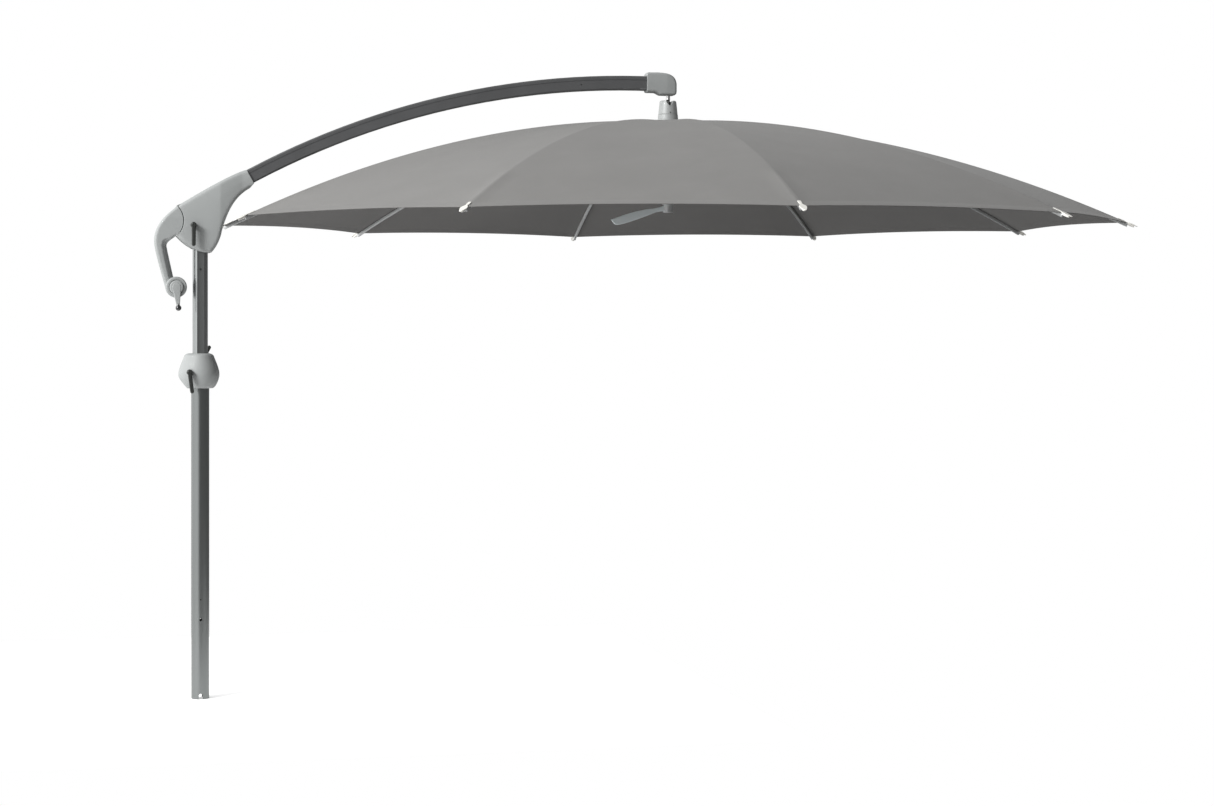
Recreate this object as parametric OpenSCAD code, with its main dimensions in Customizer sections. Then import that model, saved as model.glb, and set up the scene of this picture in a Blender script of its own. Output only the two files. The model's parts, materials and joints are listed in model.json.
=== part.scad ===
// Cantilever parasol: a mast with a swivel collar, a curved arm on a pitching
// knuckle, and a ten-ribbed canopy that hangs from the arm's nose.
// Millimetres. The origin is the centre of the mast's bottom end, +Z is up and
// +X runs along the arm, from the mast to the canopy's hub.

/* [Mast] */
// Outside diameter of the lower mast tube
lower_od = 65; // [64:0.5:66]
// Wall of the lower mast tube
lower_wall = 3; // [2.5:0.5:3]
// Length of the lower mast tube
lower_len = 1190; // [1185:1:1192]
// Depth to which the mast stands in its stand, marked by a scribed line
spigot_len = 400; // [380:5:450]
// Outside diameter of the upper mast profile
mast_od = 54.8; // [54:0.2:55]
// Width of the channels down the front and rear of the upper mast
channel_w = 25; // [18:1:28]
// Radius of the hole that locks the mast in its stand
lock_r = 5; // [3:0.5:8]
// Height of that hole
lock_z = 288; // [200:4:400]

/* [Arm] */
// Distance from the mast's axis to the canopy's axis
reach = 1750; // [1750:1:1752]
// Radius of the arm's curve, along its centre line
arm_r = 3000; // [2998:1:3002]
// Height of the arm's section
arm_h = 53; // [52:1:55]
// Width of the arm's section
arm_w = 45; // [40:1:45]
// Height of the pin that the arm pitches on
pitch_z = 1715; // [1714:1:1716]

/* [Canopy] */
// Distance from the canopy's axis to the end of a rib's cap
canopy_r = 1750; // [1600:10:1760]
// Height of the canopy's apex above the ends of its ribs
canopy_rise = 405; // [395:5:410]
// Number of ribs
rib_count = 10; // [8:2:10]
// Width of a rib
rib_w = 14; // [12:1:16]
// Depth of a rib
rib_h = 14; // [12:1:14]
// Distance from the axis to the joint of a rib and its strut
strut_r = 750; // [700:10:800]

/* [Winch and handles] */
// Length of a clamp lever, from its screw to its end
lever_len = 77; // [60:1:80]
// Distance from the winch's axis to the middle of the crank's knob
crank_len = 75; // [65:1:78]
// Radius of the winch drum
drum_r = 20; // [15:1:20]
// Length of the paddle handle
handle_len = 221; // [180:1:240]

/* [Hidden] */
$fn = 64;

gap = 0.3;          // play between pieces that move past each other
run = 0.05;         // radial clearance of a pin that turns in its bore
past = 1;           // how far a cutting shape runs past what it cuts
wall = 3;           // wall of the moulded shells

lower_r = lower_od / 2;
lower_in = lower_r - lower_wall;
mast_r = mast_od / 2;
mast_wall = 3;
channel_floor = 18; // distance of a channel's floor from the mast's axis
mast_foot_z = 700;
mast_top_z = 1662;
line_w = 1;         // width and depth of the scribed line
line_depth = 0.5;
notch_w = 14;
notch_h = 20;

collar_z0 = 1125;
collar_z1 = 1252;
bulge = 18;         // how far the collar reaches past its round part, to the left
swivel_x = -42;
swivel_z = 1184;
height_x = 5;
height_z = 1210;
swivel_head = 56;   // distance of a lever's head from the plane of the arm
height_head = 69;
lever_w = 15;
lever_head_r = 10.5;
lever_t = 12;

pitch = [-27, pitch_z];
pivot_r = 8;
shell_half = 45;    // half the width of the housing
boss_r = 7;         // radius of the bosses that the housing's screws run through
boss_floor = 30;    // how deep in its boss a screw's head sits, from the middle
screw_places = [[-50, 1680], [70, 1735], [-20, 1806]];
rope_way = [-64, 1737];
rope_way_r = 22;    // radius of the opening between the housing and the winch arm
seam = [-136, 1731];
seam_r = 76;
winch = [-87, 1491];
winch_r = 38;
knob = winch + [7, -crank_len];
knob_r = 10.6;

arm_centre = [1620, 2263.5 - arm_r];
arm_start_x = 20;
arm_end_x = 1700;
pulley = [reach - 18, 2258];
rope_r = 2.5;
pulley_rope_r = 18; // radius at which the rope runs round the pulley
groove_r = pulley_rope_r - rope_r - gap;
stud_r = 8;
stud_top = 2237;
hinge_z = 2190;     // height of the hub's tilting hinge
hinge_r = 3;
knuckle_r = 12;
knuckle_half = 8.5;

apex_z = 2121;
rim_z = apex_z - canopy_rise;
cloth_t = 1.2;
cloth_r = canopy_r - 40;
cloth_hole = 24;
cloth_rings = 14;
cap_len = 86;
hub_r = 62;         // radius of the crown and of the runner
neck_r = 18;
eye_r = 45;         // distance of the ribs' and struts' hinges from the axis
crown_z0 = 2094;
crown_z1 = 2113;
tongue_w = 8;
slot_w = 9;
pin_r = 2;
rib_drop = 4;       // how far the top of a rib lies below the cloth's surface
rib_eye = [eye_r, 2104];
strut_eye = [strut_r, cloth_z(strut_r) - rib_drop - rib_h - 7];
runner_eye = [eye_r, 2 * strut_eye[1] - rib_eye[1]];
strut_h = 10;
spigot_r = 12;
handle_z = 1791;

// ---- curves and frames ----

// The cloth's surface above a rib, at a distance r from the canopy's axis.
function cloth_z(r) = rim_z + canopy_rise * (1 - pow(r / canopy_r, 2));

function rib_angle(k) = 360 / rib_count * (k - 0.5);

// Points of a cubic curve, without its first one, so that curves join.
function curve(a, b, c, d, n = 10) = [for (i = [1:n]) let (t = i / n, s = 1 - t)
    s * s * s * a + 3 * s * s * t * b + 3 * s * t * t * c + t * t * t * d];

function arc(c, r, a0, a1, n = 12) =
    [for (i = [0:n]) let (a = a0 + (a1 - a0) * i / n) c + r * [cos(a), sin(a)]];

// Height of the arm's centre line, raised by up along its radius.
function arm_z(x, up = 0) =
    arm_centre[1] + sqrt(pow(arm_r + up, 2) - pow(x - arm_centre[0], 2));

// Extrudes an outline drawn in x and z from y0 to y1.
module across(y0, y1) rotate([90, 0, 0]) translate([0, 0, -y1])
    linear_extrude(y1 - y0) children();

// Extrudes an outline drawn in y and z from x0 to x1.
module along(x0, x1) rotate([90, 0, 90]) translate([0, 0, x0])
    linear_extrude(x1 - x0) children();

module rod_y(p, r, y0, y1) translate([p[0], y0, p[1]]) rotate([-90, 0, 0])
    cylinder(r = r, h = y1 - y0);

module rod_x(z, r, x0, x1) translate([x0, 0, z]) rotate([0, 90, 0])
    cylinder(r = r, h = x1 - x0);

module rod_z(r, z0, z1) translate([0, 0, z0]) cylinder(r = r, h = z1 - z0);

module ring_z(r_out, r_in, z0, z1) difference() {
    rod_z(r_out, z0, z1);
    rod_z(r_in, z0 - past, z1 + past);
}

module at_hub() translate([reach, 0, 0]) children();

module at_rib(k) at_hub() rotate([0, 0, rib_angle(k)]) children();

module rounded(w, h, r) {
    square([w - 2 * r, h], center = true);
    square([w, h - 2 * r], center = true);
    for (x = [-1, 1], y = [-1, 1])
        translate([x * (w / 2 - r), y * (h / 2 - r)]) circle(r = r);
}

// ---- mast ----

module lower_mast() color("#7d8081") difference() {
    ring_z(lower_r, lower_in, 0, lower_len);
    ring_z(lower_r + past, lower_r - line_depth, spigot_len, spigot_len + line_w);
    // the notch keys over a cross pin in the stand
    across(-lower_r - past, lower_r + past) {
        translate([-notch_w / 2, -past])
            square([notch_w, notch_h - notch_w / 2 + past]);
        translate([0, notch_h - notch_w / 2]) circle(d = notch_w);
    }
    rod_y([0, lock_z], lock_r, -lower_r - past, lower_r + past);
    rod_y([0, lock_z + 72], lock_r / 2, -lower_r - past, 0);
}

module mast_bush() color("#303234") {
    difference() {
        union() {
            rod_z(lower_in - run, lower_len - 80, lower_len + 4);
            rod_z(lower_r - 0.1, lower_len + 0.05, lower_len + 4);
        }
        rod_z(mast_r + 0.15, lower_len - 81, lower_len + 5);
    }
}

module mast_profile() difference() {
    union() {
        difference() {
            circle(r = mast_r);
            circle(r = mast_r - mast_wall);
        }
        for (side = [0, 180]) rotate(side) intersection() {
            circle(r = mast_r);
            translate([-channel_w / 2 - mast_wall, channel_floor - mast_wall])
                square([channel_w + 2 * mast_wall, mast_r]);
        }
    }
    for (side = [0, 180]) rotate(side)
        translate([-channel_w / 2, channel_floor]) square([channel_w, mast_r]);
}

// What fits inside the upper mast, between its two channels.
module mast_core() intersection() {
    circle(r = mast_r - mast_wall - 0.2);
    square([mast_od, 2 * (channel_floor - mast_wall) - 0.4], center = true);
}

module upper_mast() color("#5b6061") difference() {
    translate([0, 0, mast_foot_z]) linear_extrude(mast_top_z - mast_foot_z)
        mast_profile();
    rod_y([0, 1556], 4, -mast_r, -channel_floor + mast_wall + past);
}

module slide_foot() color("#303234") {
    rod_z(lower_in - 0.2, mast_foot_z - 10, mast_foot_z - 0.1);
    translate([0, 0, mast_foot_z - 5]) linear_extrude(45) mast_core();
}

module mast_head() color("#8f9394") difference() {
    union() {
        translate([0, 0, mast_top_z - 62]) linear_extrude(70) mast_core();
        across(-15, 15) {
            polygon([[-24, mast_top_z + 0.2], [24, mast_top_z + 0.2], [22, 1690],
                [-20, 1735], [-46, 1720], [-46, 1706]]);
            translate(pitch) circle(r = 20);
        }
    }
    rod_y(pitch, pivot_r + 0.02, -16, 16);
}

module pitch_pivot() color("silver") rod_y(pitch, pivot_r, -36, 36);

// ---- swivel collar ----

// Half of the collar's outline, in radius and height.
function collar_side() = concat([[48, collar_z0]],
    curve([48, collar_z0], [62, 1128], [69, 1155], [69, 1181]),
    curve([69, 1181], [69, 1208], [62, 1238], [48, 1245]), [[30, collar_z1]]);

module collar_barrel(inset, narrower) rotate_extrude() intersection() {
    offset(delta = -inset) polygon(concat([[-20, collar_z0]],
        [for (p = collar_side()) [p[0] - narrower, p[1]]], [[-20, collar_z1]]));
    translate([0, collar_z0]) square([100, 200]);
}

// The barrel round the mast and a narrower one round the swivel's clamp on the left,
// cut slantwise below the clamp.
module collar_block(inset) difference() {
    union() {
        collar_barrel(inset, 0);
        translate([-bulge, 0, 0]) collar_barrel(inset, bulge / 2);
    }
    across(-100, 100) polygon([for (p = [[-78, 1162], [-50, 1129], [-20, 1094], [-120, 1094],
        [-120, 1162]]) p + inset * [0.77, 0.64]]);
}

module collar_shell() difference() {
    union() {
        difference() {
            collar_block(0);
            collar_block(wall);
        }
        // the pads that the levers' heads sit on
        intersection() {
            collar_block(0);
            union() {
                rod_y([swivel_x, swivel_z], lever_head_r + 3, -80, -36);
                rod_y([height_x, height_z], lever_head_r + 3, 43, 80);
            }
        }
    }
    rod_y([swivel_x, swivel_z], lever_head_r + 0.8, -80, gap - swivel_head);
    rod_y([height_x, height_z], lever_head_r + 0.8, height_head - gap, 80);
    rod_z(lower_r + gap, collar_z0 - past, collar_z0 + 20);
    rod_z(mast_r + gap, collar_z1 - 20, collar_z1 + past);
    rod_y([swivel_x, swivel_z], 4 + gap, -80, 0);
    rod_y([height_x, height_z], 4 + gap, 0, 80);
}

module half_space(side) translate([-300, side > 0 ? 0.1 : -600.1, 0])
    cube([600, 600, 3000]);

module collar_front() color("#b4b8b7") intersection() {
    collar_shell();
    half_space(-1);
}

module collar_rear() color("#b4b8b7") intersection() {
    collar_shell();
    half_space(1);
}

module clamp_ring() color("#8f9394") difference() {
    union() {
        rod_z(39, collar_z0 + 8, collar_z1 - 8);
        translate([-60, -16, swivel_z - 22]) cube([40, 32, 33]);
    }
    rod_z(lower_r + 0.25, collar_z0, lower_len + 5);
    rod_z(mast_r + gap, lower_len, collar_z1);
    translate([-70, -1.5, collar_z0]) cube([50, 3, lower_len + 5 - collar_z0]);
    rod_y([swivel_x, swivel_z], 4 + run, -20, 20);
    rod_y([height_x, height_z], 4 + run, 0, 50);
}

// A lever whose bar turns by turn, clockwise from hanging down, on a screw
// that runs from y = tip to the lever. side is -1 in front and 1 behind.
module clamp_lever(p, side, turn, tip, head) color("#26282a") {
    y0 = side * head;
    y1 = side * (head + 28);
    y_bar = side * (head + 28 - lever_t);
    rod_y(p, lever_head_r, min(y0, y1), max(y0, y1));
    rod_y(p, 4, min(tip, y0), max(tip, y0));
    across(min(y_bar, y1), max(y_bar, y1)) translate(p) rotate(turn) {
        translate([-lever_w / 2, -lever_len + lever_w / 2])
            square([lever_w, lever_len - lever_w / 2]);
        translate([0, -lever_len + lever_w / 2]) circle(d = lever_w);
    }
}

module swivel_lever() clamp_lever([swivel_x, swivel_z], -1, 7, 15, swivel_head);

module height_lever() clamp_lever([height_x, height_z], 1, 152, 19, height_head);

module pitch_lever() clamp_lever(pitch, -1, 0, -38, shell_half + gap);

// ---- knuckle housing ----

function housing_points() = concat(
    curve([-81, 1786], [-6, 1833], [120, 1908], [165, 1918]),
    [[192, 1869]],
    curve([187, 1857], [125, 1825], [100, 1775], [77, 1700]),
    curve([77, 1700], [72, 1670], [60, 1640], [38, 1616]),
    curve([38, 1616], [0, 1612], [-50, 1632], [-87, 1676]),
    arc(seam, seam_r, -46.5, 46.5));

// The housing narrows towards the arm, seen from above. inset is the wall.
module housing_block(inset) intersection() {
    across(-shell_half, shell_half) offset(delta = -inset)
        polygon(housing_points());
    linear_extrude(2500) polygon(concat(
        [[-200, inset - 45], [70, inset - 45], [150, inset - 33], [230, inset - 31]],
        [[230, 31 - inset], [150, 33 - inset], [70, 45 - inset], [-200, 45 - inset]]));
}

module housing_shell() difference() {
    union() {
        difference() {
            housing_block(0);
            housing_block(wall);
        }
        intersection() {
            housing_block(0);
            for (p = screw_places) rod_y(p, boss_r, -shell_half, shell_half);
        }
    }
    arm_solid(arm_w + 2 * gap, arm_h + 2 * gap, arm_start_x, 400);
    // room for the mast to swing as the arm pitches
    across(-mast_r - 1.5, mast_r + 1.5)
        polygon([[-36, 1600], [52, 1600], [50, 1630], [44, 1665], [-32, 1665]]);
    // the way through to the winch arm
    across(-20, 20) translate(rope_way) circle(r = rope_way_r);
    rod_y(pitch, 5, -60, 0);
    for (p = screw_places) {
        rod_y(p, 4.5, boss_floor, 60);
        rod_y(p, 2.4, 0, boss_floor + past);
        rod_y(p, 2.05, -16, past);
    }
}

module housing_front() color("#adb1b0") intersection() {
    housing_shell();
    half_space(-1);
}

module housing_rear() color("#adb1b0") intersection() {
    housing_shell();
    half_space(1);
}

// Each screw's head sits deep in the rear shell's boss, and its end in the front one's.
module housing_screws() color("#4a4c4d") for (p = screw_places) {
    rod_y(p, 4.2, boss_floor, boss_floor + 3.5);
    rod_y(p, 2, -15, boss_floor);
}

module arm_saddle() color("#8f9394") difference() {
    union() {
        for (side = [-1, 1]) across(side > 0 ? 22.8 : -28.8, side > 0 ? 28.8 : -22.8) {
            translate(pitch) circle(r = 20);
            polygon([[-44, 1724], [-12, 1702], [52, 1752], [104, 1809], [150, 1838],
                [138, 1872], [60, 1828], [0, 1786], [-38, 1732]]);
        }
        for (side = [-1, 1])
            rod_y(pitch, 14, side > 0 ? 15.3 : -23, side > 0 ? 23 : -15.3);
        across(-23, 23) polygon([[100, 1815.6], [135, 1836.2], [138, 1829], [104, 1808]]);
    }
    rod_y(pitch, pivot_r + run, -40, 40);
}

// ---- arm ----

// A bar of the arm's curve, w wide and h deep, between two distances along x.
module arm_solid(w, h, x0, x1) {
    a1 = acos((x0 - arm_centre[0]) / arm_r);
    a0 = acos((x1 - arm_centre[0]) / arm_r);
    translate([arm_centre[0], 0, arm_centre[1]]) rotate([90, 0, 0]) rotate(a0)
        rotate_extrude(angle = a1 - a0, $fn = 256) translate([arm_r, 0])
            rounded(h, w, 6, $fn = 32);
}

module arm_beam() color("#55575a") difference() {
    arm_solid(arm_w, arm_h, arm_start_x, arm_end_x);
    arm_solid(arm_w - 6, arm_h - 6, arm_start_x - 5, arm_end_x + 5);
    // the groove along each side
    for (side = [-1, 1]) translate([arm_centre[0], side * arm_w / 2, arm_centre[1]])
        rotate([90, 0, 0]) rotate(88) rotate_extrude(angle = 36, $fn = 256)
            translate([arm_r + 10.5, 0]) square([3, 3.2], center = true);
    rod_y([1410, arm_z(1410) - 4], 2.5, -arm_w, 0);
}

// ---- winch ----

function winch_points() = concat(
    curve([-81, 1786], [-125, 1752], [-165, 1715], [-164, 1656]),
    curve([-164, 1656], [-163, 1620], [-135, 1530], winch + [-36, -8]),
    arc(winch, winch_r - 1, 195, 380, 16),
    curve([-52, 1505], [-75, 1520], [-96, 1520], [-98, 1534], 6),
    curve([-98, 1534], [-106, 1570], [-119, 1625], [-121, 1640], 6),
    curve([-121, 1640], [-122, 1655], [-103, 1664], [-88, 1676], 6),
    arc(seam, seam_r - 0.6, -46, 46));

module winch_block(inset) intersection() {
    across(-shell_half, shell_half) offset(delta = -inset) polygon(winch_points());
    along(-300, 0) polygon(concat(
        [[inset - 44, 1850], [inset - 44, 1740], [inset - 32, 1640], [inset - 25, 1580],
            [inset - 24, 1535], [inset - 24, 1400]],
        [[24 - inset, 1400], [24 - inset, 1535], [25 - inset, 1580], [32 - inset, 1640],
            [44 - inset, 1740], [44 - inset, 1850]]));
}

module winch_arm() color("#adb1b0") difference() {
    winch_block(0);
    winch_block(wall);
    across(-20, 20) translate(rope_way) circle(r = rope_way_r);
    rod_y(winch, 6 + run, -40, 40);
}

module winch_cover() color("#a4a8a8") difference() {
    union() {
        rod_y(winch, winch_r, -33, -24.2);
        rod_y(winch, winch_r - 4, -36, -33);
    }
    rod_y(winch, 6 + run, -50, 0);
}

module winch_drum() color("#6d7071") {
    rod_y(winch, 6, -47, 23);
    rod_y(winch, drum_r, -14, 14);
    for (y = [-17, 14]) rod_y(winch, drum_r + 4.5, y, y + 3);
}

module crank_bar() {
    across(-47, -39) {
        polygon([winch + [-15, 2], winch + [15, 2], knob + [6, 10], knob + [-6, 10]]);
        translate(winch) circle(r = 15);
    }
    rod_y(winch, 24, -45, -37);
    across(-46, -40) translate(knob + [-4, -2]) square([8, 16]);
}

module crank_lever() color("#b4b8b7") difference() {
    crank_bar();
    rod_y(winch, 6.02, -48, -30);
}

module crank_knob() color("#26282a") difference() {
    translate([knob[0], -43, knob[1]]) sphere(r = knob_r);
    across(-46.1, -39.9) translate(knob + [-4.1, -2.1]) square([8.2, 20]);
    across(-47.1, -38.9)
        polygon([winch + [-15, 2], winch + [15, 2], knob + [6.1, 9.9], knob + [-6.1, 9.9]]);
}

// ---- nose of the arm ----

function cap_points() = concat([[1666, 2229], [1663, 2234], [1664, 2298], [1668, 2304]],
    curve([1700, 2305], [1745, 2304], [1776, 2300], [1780, 2262], 12),
    [[1780, 2236]], curve([1780, 2236], [1780, 2226], [1776, 2219], [1766, 2219], 5),
    curve([1722, 2219], [1710, 2220], [1706, 2229], [1694, 2229], 6));

module end_cap() color("#9ea2a3") difference() {
    translate([reach - 1750, 0, 0]) across(-29, 29) polygon(cap_points());
    arm_solid(arm_w + 0.2, arm_h + 0.6, 1600, arm_end_x + 1);
    across(-8, 8) {
        translate(pulley) circle(r = 24);
        translate([1690, pulley[1] + 8]) square([pulley[0] - 1690, 16]);
    }
    rod_y(pulley, 4.02, -22, 22);
    at_hub() rod_z(stud_r + 0.02, 2200, stud_top + past);
    at_hub() rod_z(3.5, stud_top, 2262);
}

module nose_pulley() color("#303234") translate([pulley[0], 0, pulley[1]])
    rotate([90, 0, 0]) rotate_extrude() polygon([[4 + run, -6], [22, -6], [22, -5],
        [groove_r, -2.6], [groove_r, 2.6], [22, 5], [22, 6],
        [4 + run, 6]]);

module pulley_pin() color("silver") rod_y(pulley, 4, -21, 21);

module hanger_stud() color("#9a9ea0") at_hub() difference() {
    rod_z(stud_r, hinge_z + 13, stud_top);
    rod_z(3.3, hinge_z, 2250);
}

// Two cones, base to base, round the hinge's axis.
module hinge_knuckle() color("#26282a") at_hub() difference() {
    union() {
        translate([0, 0, hinge_z]) rotate([0, 90, 0]) {
            cylinder(r1 = knuckle_r, r2 = 2, h = knuckle_half);
            mirror([0, 0, 1]) cylinder(r1 = knuckle_r, r2 = 2, h = knuckle_half);
        }
        translate([0, 0, hinge_z + 4]) cylinder(r1 = 4, r2 = 9, h = 8.9);
    }
    rod_z(3.3, hinge_z - 20, hinge_z + 20);
    for (x = [-1, 1]) rod_x(hinge_z, hinge_r + run, x > 0 ? 0 : -20, x > 0 ? 20 : 0);
}

module hinge_pins() color("silver") at_hub() {
    rod_x(hinge_z, hinge_r, 4.4, 30);
    rod_x(hinge_z, hinge_r, -30, -4.4);
}

// ---- hoist rope ----

// The rope runs from the drum up the winch arm, along the arm and over the
// pulley to the hinge. These points lie in the plane of the arm.
function rope_route() = concat(
    [[-109.5, 1494], [-118, 1530], [-127, 1566], [-136, 1602], [-141, 1640], [-138, 1672],
     [-124, 1702], [-101, 1727], [-74, 1746], [-40, 1768], [-5, 1791], [35, arm_z(35, 16)]],
    [for (x = [110:106:1700]) [x, arm_z(x, 16)]],
    [for (a = [90:-15:0]) pulley + pulley_rope_r * [cos(a), sin(a)]],
    [[reach, 2225], [reach, hinge_z + 4], [reach, hinge_z - 3]]);

// A tube of n sides swept along a route in the plane of the arm.
module swept(route, r, n = 8) {
    last = len(route) - 1;
    points = [for (i = [0:last]) let (
            d = route[min(i + 1, last)] - route[max(i - 1, 0)],
            u = [-d[1], d[0]] / norm(d))
        for (j = [0:n - 1]) let (a = 360 * j / n, s = r * cos(a))
            [route[i][0] + s * u[0], r * sin(a), route[i][1] + s * u[1]]];
    sides = [for (i = [0:last - 1], j = [0:n - 1]) let (k = (j + 1) % n)
        [i * n + j, (i + 1) * n + j, (i + 1) * n + k, i * n + k]];
    ends = [[for (j = [0:n - 1]) j], [for (j = [n - 1:-1:0]) last * n + j]];
    polyhedron(points, concat(sides, ends));
}

module hoist_rope() color("#d8d8d4") swept(rope_route(), rope_r);

// ---- hub ----

module hub_cone() color("#c3c7c7") at_hub() difference() {
    rotate_extrude() polygon([[0, 2147.8], [36.7, 2147.8], [31.6, 2194],
        [29, 2200], [0, 2200]]);
    across(-45, 45) polygon([[0, 2176], [-19, 2201.3], [19, 2201.3]]);
    rod_z(neck_r + 0.1, 2140, 2161);
    rod_z(6, 2160, 2210);
    for (x = [-1, 1])
        rod_x(hinge_z, hinge_r + 0.02, x > 0 ? 3 : -30.1, x > 0 ? 30.1 : -3);
    rod_y([0, 2154], 2.22, -45, 45);
}

module hub_base() color("#c3c7c7") at_hub() difference() {
    rotate_extrude() polygon([[neck_r + 0.1, 2122], [39, 2122], [39.3, 2128],
        [37, 2147.4], [neck_r + 0.1, 2147.4]]);
    ring_z(39, 30, 2121, 2124);
}

module cone_screws() color("#26282a") at_hub() {
    rod_y([0, 2154], 2.2, -36.6, -18.2);
    rod_y([0, 2154], 2.2, 18.2, 36.6);
}

// The slots and pin bores of a hub whose hinges lie at height z.
module hub_slots(z, z0, z1) for (k = [1:rib_count]) rotate([0, 0, rib_angle(k)]) {
    translate([eye_r - 15, -slot_w / 2, z0]) cube([60, slot_w, z1 - z0]);
    translate([eye_r, 0, 0]) rod_y([0, z], pin_r + 0.02, -10.1, 10.1);
}

module hub_pins(z) at_hub() for (k = [1:rib_count]) rotate([0, 0, rib_angle(k)])
    translate([eye_r, 0, 0]) rod_y([0, z], pin_r, -10, 10);

module crown_ring() color("#9a9ea0") at_hub() difference() {
    union() {
        rod_z(hub_r, crown_z0, crown_z1);
        rod_z(neck_r, crown_z1 - 2, 2160);
        rod_z(spigot_r, 1975, crown_z0 + 2);
    }
    rod_z(5, 1970, 2170);
    hub_slots(rib_eye[1], crown_z0 - past, crown_z1 + past);
}

module rib_pins() color("silver") hub_pins(rib_eye[1]);

module runner_hub() color("#9a9ea0") at_hub() difference() {
    union() {
        rod_z(hub_r, runner_eye[1] - 11, runner_eye[1] + 11);
        rod_z(16, runner_eye[1], 2080);
        rod_z(22, handle_z + 15, runner_eye[1]);
        rod_z(19, handle_z - 14, handle_z + 16);
    }
    rod_z(spigot_r + 0.4, runner_eye[1] + 11, 2090);
    rod_z(3.2, 1850, 2000);
    rod_z(18, handle_z + 25, runner_eye[1] - 5);
    hub_slots(runner_eye[1], runner_eye[1] - 12, runner_eye[1] + 12);
    translate([-30, -6.2, handle_z - 30]) cube([60, 12.4, 50]);
    rod_y([0, handle_z], 3.02, -30, 30);
}

module strut_pins() color("silver") hub_pins(runner_eye[1]);

module rope_tail() color("#d8d8d4") at_hub() {
    rod_z(rope_r, 1928, 2176);
    translate([0, 0, 1924]) sphere(r = 7);
}

module handle_pin() color("silver") at_hub() rod_y([0, handle_z], 3, -18, 18);

module paddle_handle() color("#b9c3c6") at_hub() difference() {
    stretch = handle_len / 221;
    translate([0, 0, handle_z]) union() {
        across(-6, 6) {
            circle(r = 13);
            polygon([for (p = concat(
                curve([0, 13], [-25, 12], [-35, 3], [-70, 0], 8),
                curve([-70, 0], [-115, -6], [-165, -20], [-221, -42], 8),
                [[-208, -59]],
                curve([-190, -61], [-160, -56], [-105, -36], [-52, -15], 10),
                curve([-52, -15], [-30, -8], [-15, -7], [0, -13], 6)))
                [p[0] * stretch, p[1]]]);
        }
    }
    rod_y([0, handle_z], 3 + run, -20, 20);
}

// ---- canopy ----

function rib_line(r0, r1, drop, n = 24) =
    [for (i = [0:n]) let (r = r0 + (r1 - r0) * i / n) [r, cloth_z(r) - drop]];

function reversed(list) = [for (i = [len(list) - 1:-1:0]) list[i]];

module rib_band(r0, r1, top, bottom) polygon(concat(rib_line(r0, r1, top),
    reversed(rib_line(r0, r1, bottom))));

module rib(k) color("#a2a6a7") at_rib(k) {
    difference() {
        union() {
            across(-rib_w / 2, rib_w / 2)
                rib_band(70, cloth_r + 2, rib_drop, rib_drop + rib_h);
            across(-tongue_w / 2, tongue_w / 2) {
                translate(rib_eye) circle(r = 6);
                polygon([rib_eye - [0, 6], rib_eye + [0, 6],
                    [78, cloth_z(78) - rib_drop - 1],
                    [78, cloth_z(78) - rib_drop - rib_h + 1]]);
            }
            across(-3, 3) {
                translate(strut_eye) circle(r = 6);
                polygon([strut_eye + [-6, 0], strut_eye + [6, 0],
                    strut_eye + [22, 3], strut_eye + [-22, 12]]);
            }
        }
        across(2 - rib_w / 2, rib_w / 2 - 2)
            rib_band(84, cloth_r + 10, rib_drop + 2, rib_drop + rib_h - 2);
        rod_y(rib_eye, pin_r + run, -10, 10);
        rod_y(strut_eye, pin_r + 0.1, -10, 10);
    }
    color("#e8e6e0") tip_cap();
}

// A leaf over the corner of the cloth, and a block that closes the rib's end.
module tip_cap() intersection() {
    linear_extrude(2500) polygon([for (s = [1, -1], i = [0:10])
        let (t = s > 0 ? i / 10 : 1 - i / 10, w = t < 0.6 ? 4 + 8 * sin(150 * t) : 12 - 14 * (t - 0.6))
        [canopy_r - cap_len * (1 - t), s * w]]);
    across(-20, 20) {
        rib_band(canopy_r - cap_len, canopy_r, -3.4, -0.4);
        rib_band(cloth_r + 2.4, canopy_r, -3.4, rib_drop + rib_h);
    }
}

module strut(k) color("#a2a6a7") at_rib(k) difference() {
    u = (strut_eye - runner_eye) / norm(strut_eye - runner_eye);
    n = [-u[1], u[0]] * strut_h / 2;
    start = runner_eye + u * 26;
    union() {
        across(-strut_h / 2, strut_h / 2) {
            polygon([start + n, strut_eye + n, strut_eye - n, start - n]);
            translate(strut_eye) circle(r = 6);
        }
        across(-tongue_w / 2, tongue_w / 2) {
            polygon([runner_eye + n, strut_eye - u * 50 + n, strut_eye - u * 50 - n,
                runner_eye - n]);
            translate(runner_eye) circle(r = 6);
        }
    }
    // the fork that takes the rib's bracket, with its rivet left standing
    difference() {
        across(-3.4, 3.4) polygon([strut_eye + u * 8 + 2 * n, strut_eye - u * 26 + 2 * n,
            strut_eye - u * 26 - 2 * n, strut_eye + u * 8 - 2 * n]);
        rod_y(strut_eye, pin_r, -5, 5);
    }
    rod_y(runner_eye, pin_r + run, -10, 10);
}

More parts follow.
